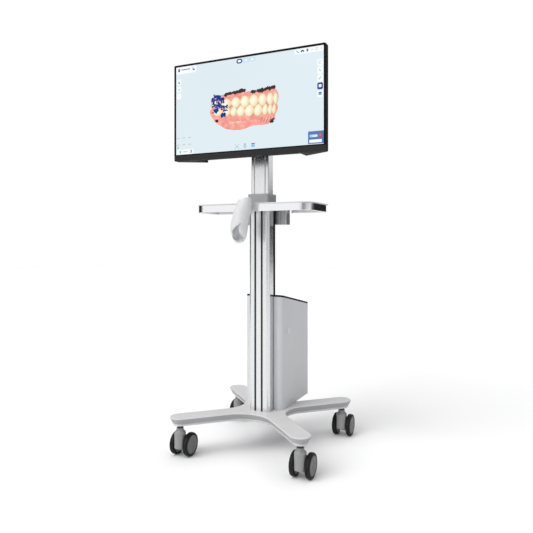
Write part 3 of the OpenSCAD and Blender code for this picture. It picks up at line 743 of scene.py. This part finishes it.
class Picture:
    """Flat coloured shapes that lie on the lit screen, in millimetres from its middle."""

    def __init__(self):
        self.front = box("screen_glass")[0].y
        self.middle = joint_place("monitor_tilt").z
        self.bm = bmesh.new()
        self.tint = self.bm.loops.layers.float_color.new("tint")

    def place(self, x, z, rise):
        return Vector((x, self.front - rise, self.middle + z))

    def paint(self, faces, colour):
        for face in faces:
            for loop in face.loops:
                loop[self.tint] = (*colour, 1)

    def shape(self, outline, colour, rise=PROUD):
        """A flat shape that stands proud of the screen by rise."""
        rings = [[self.place(p.x, p.y, height) for p in outline] for height in (-0.1, rise)]
        self.paint(loft(self.bm, rings), colour)

    def tile(self, x, z, width, height, colour, radius, rise=PROUD):
        """A rounded rectangle round its middle."""
        outline = rectangle(x - width / 2, x + width / 2, z - height / 2, z + height / 2, radius)
        self.shape(outline, colour, rise)

    def ring(self, x, z, radius, thick, colour, rise=PROUD, start=0, end=360):
        """A ring, or part of one between two angles."""
        steps = 24
        turns = [math.radians(start + (end - start) * k / steps) for k in range(steps + 1)]
        for a, b in zip(turns, turns[1:]):
            quad = [(radius, a), (radius, b), (radius - thick, b), (radius - thick, a)]
            self.shape([Vector((x + r * math.cos(t), z + r * math.sin(t))) for r, t in quad], colour, rise)

    def stroke(self, points, width, colour, rise=PROUD):
        """A line through points."""
        for a, b in zip(points, points[1:]):
            a, b = Vector(a), Vector(b)
            side = (b - a).orthogonal().normalized() * width / 2
            self.shape([a - side, b - side, b + side, a + side], colour, rise)

    def crown(self, x, z, width, height, lean, bite, shade, rise):
        """A tooth: a low dome, darker at its rim, pointed at its biting end and narrower at its neck."""
        steps = 28
        turns = [2 * math.pi * k / steps for k in range(steps)]
        rows = []
        for share, lift in CROWN_ROWS:
            row = []
            for t in turns:
                u = share * math.copysign(abs(math.cos(t)) ** 0.75, math.cos(t))
                v = share * math.copysign(abs(math.sin(t)) ** 0.9, math.sin(t))
                narrow = 1 - 0.5 * max(0.0, v * bite) ** 1.2 - 0.4 * max(0.0, -v * bite) ** 1.6
                point = (x + width / 2 * u * narrow + lean * v * height / 2, z + height / 2 * v)
                row.append(self.bm.verts.new(self.place(*point, CROWN_RIM + (rise - CROWN_RIM) * lift)))
            rows.append(row)
        back = [self.bm.verts.new(v.co + Vector((0, 0.25, 0))) for v in rows[0]]
        self.paint([self.bm.faces.new(back)], CROWN_TONES[0])
        for outer, inner, tone in zip([back] + rows, rows, CROWN_TONES[:1] + CROWN_TONES):
            for k in range(steps):
                face = self.bm.faces.new((outer[k - 1], outer[k], inner[k], inner[k - 1]))
                side = math.cos(turns[k] - math.radians(160))
                self.paint([face], shaded(tone, shade * (1 + 0.10 * side)))
        self.paint([self.bm.faces.new(rows[-1])], shaded(CROWN_MIDDLE, shade))


def wavy(points, wobble, seed, parts):
    """A closed outline drawn smoothly through points, with a small uneven wobble."""
    chance = random.Random(seed)
    count = len(points)
    outline = []
    for k in range(count):
        p0, p1, p2, p3 = (Vector(points[(k + j) % count]) for j in (-1, 0, 1, 2))
        for i in range(parts):
            t = i / parts
            curve = 2 * p1 + (p2 - p0) * t + (2 * p0 - 5 * p1 + 4 * p2 - p3) * t * t
            curve += (3 * p1 - p0 - 3 * p2 + p3) * t ** 3
            shift = Vector((chance.uniform(-wobble, wobble), chance.uniform(-wobble, wobble)))
            outline.append(curve / 2 + shift)
    return outline


# Colours of the panels, icons and scraps
WHITE = (0.95, 0.97, 0.98)
NAVY = (0.012, 0.045, 0.26)
SKY = (0.16, 0.55, 0.83)
MID_BLUE = (0.06, 0.17, 0.46)
PALE_GREY = (0.52, 0.58, 0.63)
PALE_BLUE = (0.60, 0.76, 0.86)
CHAR = (0.055, 0.035, 0.035)

# Height of the topmost icon on each side of the screen, and the icons' pitch
ICONS_TOP = 97
ICON_PITCH = 23.5


def screen_panels(picture):
    """White panels, tiles and icons round the screen's edge, without any lettering."""
    low, high = box("screen_glass")
    half_w = (high.x - low.x) / 2
    half_h = (high.z - low.z) / 2
    for z in (-1, 1):
        picture.tile(0, z * (half_h - 1.2), 2 * half_w, 2.4, WHITE, 0.5, 0.12)
    for x in (-1, 1):
        picture.tile(x * (half_w - 2.2), 0, 4.4, 2 * half_h, WHITE, 0.5, 0.12)
    picture.tile(-224, 137, 80, 25, WHITE, 5, 0.14)
    picture.tile(-252, 137, 7, 10, NAVY, 1.5)
    picture.tile(-225, 138, 36, 3, MID_BLUE, 1.4)
    picture.ring(-197, 140, 4, 1.6, SKY)
    picture.tile(-194, 134, 9, 4.5, MID_BLUE, 1.5)
    picture.tile(4, 138, 64, 14, PALE_BLUE, 6.5, 0.16)
    picture.tile(-22, 138, 21, 15, NAVY, 7)
    picture.tile(-22, 138, 12, 7, WHITE, 3.2, 0.4)
    picture.tile(2, 138, 8, 4.5, WHITE, 2, 0.4)
    picture.tile(24, 138, 9, 5, WHITE, 2, 0.4)
    picture.tile(216, 139.5, 94, 16, WHITE, 5, 0.14)
    picture.stroke([(175, 143), (179, 138), (184, 136)], 3.4, SKY)
    picture.stroke([(190, 137), (195, 142), (200, 137)], 4.2, NAVY)
    picture.tile(211, 140, 6, 9, MID_BLUE, 1.5)
    picture.tile(226, 140, 8, 2, PALE_GREY, 0.5)
    picture.ring(241, 140, 4.4, 1.6, PALE_GREY)
    picture.tile(255, 140, 2, 8, PALE_GREY, 0.5)
    for row in range(5):
        picture.tile(251.5, ICONS_TOP - ICON_PITCH * row, 18, 21, NAVY if row == 3 else WHITE, 5, 0.16)
    picture.ring(251.5, 98, 5, 2, PALE_GREY, 0.4, 30, 330)
    picture.stroke([(248, 78), (251, 73), (255, 71)], 2.2, SKY, 0.4)
    picture.stroke([(247, 46), (255, 54)], 3, SKY, 0.4)
    picture.tile(251.5, 27, 9, 9, WHITE, 3.5, 0.4)
    picture.tile(251.5, 26, 4.5, 4, PALE_BLUE, 1, 0.55)
    picture.tile(251.5, 4, 10, 9, MID_BLUE, 2, 0.4)
    picture.tile(251.5, 2.6, 6, 2.6, SKY, 0.6, 0.55)
    for row in range(3):
        picture.tile(-252, ICONS_TOP - ICON_PITCH * row, 17, 19, WHITE, 4, 0.16)
    picture.tile(-253, 97, 5, 7, SKY, 1.5, 0.4)
    picture.tile(-250, 94, 4.5, 4, MID_BLUE, 1, 0.4)
    picture.ring(-252, 72, 3.6, 1.6, SKY, 0.4)
    picture.tile(-252, 49, 1.4, 6, PALE_GREY, 0.5, 0.4)
    for x in (-256, -233, -210):
        for z in (-92, -115):
            picture.tile(x, z, 11, 3, PALE_GREY, 0.8)
    picture.tile(-256, -124, 3.4, 5, MID_BLUE, 1)
    picture.tile(-228, -139, 66, 17, WHITE, 7, 0.14)
    picture.tile(-247, -139, 6, 9, SKY, 2, 0.4)
    picture.tile(-227.5, -139, 17, 3, PALE_GREY, 1.4, 0.4)
    picture.ring(-206, -139, 5, 2.2, NAVY, 0.4, -110, 110)
    for x in (-37, -25):
        for z in (-130, -141):
            picture.tile(x, z, 4, 4, PALE_GREY, 1)
    picture.tile(-31, -136, 6, 4, SKY, 1.2, 0.4)
    picture.ring(-2, -137, 5, 2.6, SKY, 0.3)
    picture.tile(-2, -130, 3, 6, MID_BLUE, 1.2)
    picture.tile(27, -131, 13, 4, MID_BLUE, 1.2)
    picture.tile(27, -138, 13, 6, SKY, 1.6)
    picture.tile(238, -127, 50, 38, (0.075, 0.175, 0.46), 1.5, 0.2)
    picture.tile(231, -122, 26, 8, (0.42, 0.66, 0.86), 3, 0.4)
    picture.tile(235, -123, 15, 3, WHITE, 1.4, 0.55)
    picture.ring(252, -121, 6.2, 6.2, (0.45, 0.06, 0.04), 0.5)
    picture.ring(252, -121, 3.6, 3.6, (0.80, 0.16, 0.08), 0.65)
    picture.tile(237, -138, 40, 9, WHITE, 1.5, 0.4)


# Rounded outlines of the two gums, drawn smoothly through a few points
UPPER_GUM = (
    (-126, 10), (-120, 32), (-60, 38), (0, 37), (60, 36),
    (105, 35), (115, 5), (95, -15), (0, -18), (-110, -10),
)
LOWER_GUM = (
    (-124, -5), (-115, -45), (-75, -73), (-20, -83), (30, -73),
    (80, -72), (105, -45), (105, -10), (0, 0),
)
# Pitch and height of each tooth, from left to right
UPPER_TEETH = ((36, 30), (38, 34), (33, 38), (32, 42), (32, 43), (29, 43), (23, 45), (15, 42))
LOWER_TEETH = ((38, 27), (25, 31), (23, 35), (29, 39), (32, 42), (30, 42), (19, 39), (15, 37), (12, 35))
# Width of a crown, as a share of its pitch
TOOTH_OVERLAP = 1.2


def ragged(picture, places, count, size, colour, seed, rise):
    """Small torn scraps scattered round places (x, z, reach), each drawn out in a direction of its own."""
    chance = random.Random(seed)
    for _ in range(count):
        x, z, reach = chance.choice(places)
        x += chance.uniform(-reach, reach)
        z += chance.uniform(-reach, reach) * 0.8
        turned = Matrix.Rotation(chance.uniform(0, math.pi), 2)
        length = chance.uniform(1.0, 1.9)
        corners = []
        for k in range(7):
            turn = 2 * math.pi * k / 7
            radius = size * chance.uniform(0.45, 1.2)
            spoke = turned @ Vector((length * math.cos(turn), math.sin(turn)))
            corners.append(Vector((x, z)) + spoke * radius)
        picture.shape(corners, colour, rise)


def teeth(picture, start, row, level, fall, lean, bite, rise):
    """A row of crowns that touch, from a left end; level is its middle height there, and fall its slope."""
    left = start
    for pitch, height in row:
        x = left + pitch / 2
        shade = 1.02 - 0.0007 * abs(x)
        picture.crown(x, level - fall * (x - start), pitch * TOOTH_OVERLAP, height, lean, bite, shade, rise)
        left += pitch


def screen_scan(picture):
    """A half-finished scan: two rows of crowns, torn blue patches on the left, and dark scraps round it."""
    teeth(picture, -125, UPPER_TEETH, 7, 0.01, -0.02, -1, 0.9)
    teeth(picture, -117, LOWER_TEETH, -18, 0.045, 0.08, 1, 0.8)
    for x in (-50, -26):
        picture.tile(x, -57, 21, 4.5, (0.93, 0.62, 0.45), 2.2, 0.4)
    for k in range(5):
        x = 60 + 10 * k
        picture.stroke([(x, -48), (x - 2, -57), (x - 7, -66)], 2.0, (0.50, 0.13, 0.12), 0.42)
    edge = [(x, 36 + 0.1 * (x + 70), 3) for x in range(-70, 0, 7)]
    edge += [(x, 35 + 0.1 * (x - 45), 4) for x in range(45, 100, 6)]
    edge += [
        (-16, 42, 6), (-8, 44, 6), (24, 35, 3), (30, 34, 4), (92, -66, 5), (96, -62, 5), (-105, -47, 2),
    ]
    ragged(picture, edge, 210, 3.6, CHAR, 51, 0.55)
    torn = [
        (-112, 27, 12), (-96, 28, 9), (-110, 12, 15), (-98, -3, 13),
        (-110, -14, 11), (-84, 18, 9), (-76, -7, 12), (-80, -30, 7),
    ]
    ragged(picture, torn, 150, 3.3, NAVY, 61, 1.12)


def monitor():
    """Bezel, chin, rear cover and the lit screen with its picture."""
    finished("bezel_frame", "monitor_bezel", FINISHES["bezel_black"], edge=0.5, corner=3.5)
    finished("chin_strip", "monitor_chin", FINISHES["chin_grey"], edge=0.5, corner=3.5, upper_corners=False)
    finished("monitor_rear_cover", "monitor_back", FINISHES["monitor_shell"], edge=0.9, corner=3.5)
    finished("monitor_wedges", "monitor_feet", FINISHES["bezel_black"], edge=1.2)
    finished("monitor_push_button", "monitor_button", FINISHES["bezel_black"], edge=0.4)
    finished("display_film", "screen_glass", FINISHES["display"], edge=0.15)

    picture = Picture()
    screen_panels(picture)
    screen_scan(picture)
    add_to_screen("display_picture", picture.bm, display_picture())

    gums = Picture()
    for k, outline in enumerate((UPPER_GUM, LOWER_GUM)):
        gums.shape(wavy(outline, 0.8, 10 + k, 5), WHITE, 0.3)
    add_to_screen("display_gums", gums.bm, display_gums())


def add_to_screen(name, bm, material):
    """A picture layer: it rides on the monitor."""
    bmesh.ops.recalc_face_normals(bm, faces=bm.faces)
    bmesh.ops.scale(bm, vec=(MM, MM, MM), verts=bm.verts)
    mesh = bpy.data.meshes.new(name)
    bm.to_mesh(mesh)
    bm.free()
    mesh.materials.append(material)
    layer = bpy.data.objects.new(name, mesh)
    scene.collection.objects.link(layer)
    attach(layer, NODES["screen_glass"]["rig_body"])
    return layer


# ---- studio ----

def camera():
    """The photograph's view: level camera, in front and to the right of the cart."""
    data = bpy.data.cameras.new("view")
    data.lens = 37.6
    data.sensor_width = 36
    data.shift_y = -0.045
    thing = bpy.data.objects.new("view", data)
    thing.location = (0.808, -1.746, 0.699)
    thing.rotation_euler = (math.radians(90), 0, math.radians(24.83))
    scene.collection.objects.link(thing)
    scene.camera = thing


def sun(name, source, strength, spread):
    """Even soft light that comes from the direction of source."""
    data = bpy.data.lights.new(name, "SUN")
    data.energy = strength
    data.angle = math.radians(spread)
    thing = bpy.data.objects.new(name, data)
    thing.rotation_euler = (-Vector(source)).to_track_quat("-Z", "Y").to_euler()
    scene.collection.objects.link(thing)


def lights():
    """Three wide, soft suns: one from the front left, one low in front, and one above."""
    sun("key", (-1.3, -2.4, 2.6), 1.7, 40)
    sun("front", (-0.5, -1.6, 0.4), 0.45, 80)
    sun("top", (0.2, 0.3, 3.0), 0.9, 70)


# Bearings in degrees from +X, and the brightness of the studio walls there: one set near the horizon, one
# just above it, and one high up
WALLS = (
    (
        (-180, 0.05), (-166, 0.06), (-150, 0.62), (-92, 0.62), (-74, 0.30), (-48, 0.34),
        (-26, 0.75), (2, 0.80), (26, 0.02), (104, 0.02), (130, 0.3), (180, 0.05),
    ),
    (
        (-180, 0.15), (-160, 0.62), (-72, 0.62), (-60, 0.25), (-10, 0.30),
        (20, 0.95), (110, 0.95), (150, 0.15), (180, 0.15),
    ),
    ((-180, 0.50), (-110, 0.72), (-30, 0.40), (10, 0.22), (80, 0.22), (180, 0.50)),
)
# Sine of the elevation between which one set of walls passes into the next
WALL_STEPS = ((0.08, 0.11), (0.30, 0.42))


def surroundings():
    """White backdrop for the camera; grey studio walls for the reflections."""
    world = bpy.data.worlds.new("studio")
    scene.world = world
    world.use_nodes = True
    tree = world.node_tree
    tree.nodes.clear()

    def node(kind, *feeds):
        made = tree.nodes.new("ShaderNode" + kind)
        for socket, source in feeds:
            tree.links.new(source, made.inputs[socket])
        return made

    split = node("SeparateXYZ", ("Vector", node("TexCoord").outputs["Generated"]))
    bearing = node("Math", (0, split.outputs["Y"]), (1, split.outputs["X"]))
    bearing.operation = "ARCTAN2"
    turn = node("MapRange", ("Value", bearing.outputs[0]))
    turn.inputs["From Min"].default_value = -math.pi
    turn.inputs["From Max"].default_value = math.pi
    walls = None
    for stops, step in zip(WALLS, ((-2, -1),) + WALL_STEPS):
        ramp = node("ValToRGB", ("Fac", turn.outputs["Result"]))
        elements = ramp.color_ramp.elements
        while len(elements) < len(stops):
            elements.new(0.5)
        for element, (angle, grey) in zip(elements, stops):
            element.position = (angle + 180) / 360
            element.color = (grey, grey, 1.02 * grey, 1)
        if walls is None:
            walls = ramp.outputs["Color"]
            continue
        rise = node("MapRange", ("Value", split.outputs["Z"]))
        rise.inputs["From Min"].default_value, rise.inputs["From Max"].default_value = step
        blend = node("Mix")
        blend.data_type = "RGBA"
        tree.links.new(rise.outputs["Result"], blend.inputs["Factor"])
        tree.links.new(walls, blend.inputs["A"])
        tree.links.new(ramp.outputs["Color"], blend.inputs["B"])
        walls = blend.outputs["Result"]
    lit = node("Background", ("Color", walls))
    seen = node("Background")
    seen.inputs["Color"].default_value = (1, 1, 1, 1)
    mix = node("MixShader", ("Fac", node("LightPath").outputs["Is Camera Ray"]))
    tree.links.new(lit.outputs["Background"], mix.inputs[1])
    tree.links.new(seen.outputs["Background"], mix.inputs[2])
    node("OutputWorld", ("Surface", mix.outputs["Shader"]))


def reflection_card(name, colour, bearings, distance, low, high):
    """Upright card out of the picture, seen only in the metal: part of a ring round the column."""
    steps = 6
    turns = [math.radians(bearings[0] + (bearings[1] - bearings[0]) * k / steps) for k in range(steps + 1)]
    points = [(distance * math.cos(t), distance * math.sin(t), z) for z in (low, high) for t in turns]
    faces = [(k, k + 1, k + steps + 2, k + steps + 1) for k in range(steps)]
    mesh = bpy.data.meshes.new(name)
    mesh.from_pydata(points, [], faces)
    finish = Finish(name, Roughness=0.9, Specular_IOR_Level=0.0)
    finish.link(finish.ramp(finish.noise(2, 2), (0.3, shaded(colour, 0.95)), (0.7, colour)), "Base Color")
    mesh.materials.append(finish.material)
    card = bpy.data.objects.new(name, mesh)
    card.visible_camera = False
    card.visible_diffuse = False
    card.visible_shadow = False
    card.visible_transmission = False
    scene.collection.objects.link(card)


def cards():
    """Two neutral dark cards, which give the metal its dark bands."""
    reflection_card("dark_card", (0.02, 0.02, 0.02), (160, 192), 1.1, 0.3, 1.5)
    reflection_card("side_card", (0.01, 0.01, 0.01), (32, 100), 1.3, 0.74, 1.0)


def floor():
    """Large pale floor."""
    half = 12
    corners = [(-half, -half, 0), (half, -half, 0), (half, half, 0), (-half, half, 0)]
    mesh = bpy.data.meshes.new("floor")
    mesh.from_pydata(corners, [], [(0, 1, 2, 3)])
    finish = Finish("floor", Roughness=0.8)
    stops = (0.3, (0.93, 0.93, 0.93)), (0.7, (0.95, 0.95, 0.95))
    finish.link(finish.ramp(finish.noise(1.5, 2), *stops), "Base Color")
    mesh.materials.append(finish.material)
    thing = bpy.data.objects.new("floor", mesh)
    scene.collection.objects.link(thing)


scene.view_settings.view_transform = "Standard"
camera()
lights()
surroundings()
cards()
floor()
cad_finishes()
base_cover()
casters()
structure()
holder_sleeve()
monitor()
